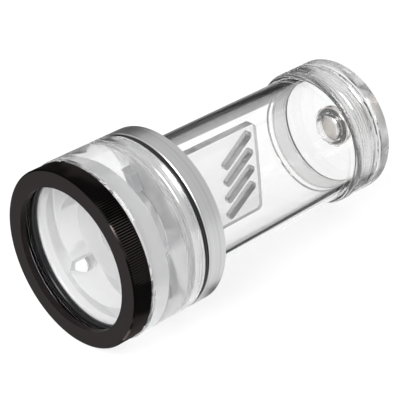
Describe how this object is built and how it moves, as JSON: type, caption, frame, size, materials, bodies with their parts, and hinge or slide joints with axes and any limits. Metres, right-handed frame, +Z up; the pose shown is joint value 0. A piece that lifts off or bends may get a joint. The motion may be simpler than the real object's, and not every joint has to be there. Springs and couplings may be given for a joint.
{
  "type": "coolant pump reservoir",
  "caption": "Clear tube reservoir for a liquid-cooling loop, with a screw-on lid and a round pump top whose threaded ring clamps a circulation pump over the volute.",
  "frame": {"origin": "centre of the locking ring's front face, on the axis of the tube", "axes": "the part lies on its side: +X along the tube's axis from the pump end to the lid, +Z up in the plane of the baffle plate"},
  "size_m": [0.1644, 0.08, 0.08],
  "materials": {
    "black_anodised": "black anodised, straight serrations on the rim",
    "black_rubber": "smooth moulded",
    "pale_silicone": "translucent silicone",
    "clear_acrylic": "clear cast acrylic, polished outside, as machined in the pockets",
    "satin_aluminium": "turned and satin anodised",
    "plated_brass": "nickel plated"
  },
  "bodies": {
    "reservoir": {"pump_top": "clear_acrylic", "pump_seal_oring": "black_rubber", "tube_base_ring": "clear_acrylic", "tube_base_oring": "pale_silicone", "reservoir_tube": "clear_acrylic", "baffle_plate": "clear_acrylic", "tube_end_ring": "clear_acrylic"},
    "locking_ring": {"lock_ring": "black_anodised"},
    "collar_seal": {"collar_seal_oring": "black_rubber"},
    "collar": {"tube_collar": "satin_aluminium"},
    "lid_seal": {"cap_oring": "black_rubber"},
    "lid": {"top_cap": "clear_acrylic"},
    "plug_seal": {"fill_plug_oring": "black_rubber"},
    "plug": {"fill_plug": "plated_brass"}
  },
  "joints": [
    {"name": "locking_ring_off", "type": "slide", "parent": "reservoir", "child": "locking_ring", "axis": [-1, 0, 0], "range_m": [0, 0.012]},
    {"name": "collar_travel", "type": "slide", "parent": "reservoir", "child": "collar_seal", "axis": [1, 0, 0], "range_m": [0, 0.006]},
    {"name": "collar_turn", "type": "hinge", "parent": "collar_seal", "child": "collar", "pos_m": [0.0452, 0, 0], "axis": [1, 0, 0], "range_deg": [0, 1440]},
    {"name": "lid_travel", "type": "slide", "parent": "reservoir", "child": "lid_seal", "axis": [1, 0, 0], "range_m": [0, 0.012]},
    {"name": "lid_turn", "type": "hinge", "parent": "lid_seal", "child": "lid", "pos_m": [0.158, 0, 0], "axis": [1, 0, 0], "range_deg": [0, 2880]},
    {"name": "plug_travel", "type": "slide", "parent": "lid", "child": "plug_seal", "axis": [1, 0, 0], "range_m": [0, 0.0054]},
    {"name": "plug_turn", "type": "hinge", "parent": "plug_seal", "child": "plug", "pos_m": [0.1605, 0, 0], "axis": [1, 0, 0], "range_deg": [0, 1440]}
  ],
  "couplings": [
    {"joint": "collar_travel", "follows": "collar_turn", "m_per_rad": 0.00023873},
    {"joint": "lid_travel", "follows": "lid_turn", "m_per_rad": 0.00023873},
    {"joint": "plug_travel", "follows": "plug_turn", "m_per_rad": 0.00021279}
  ]
}
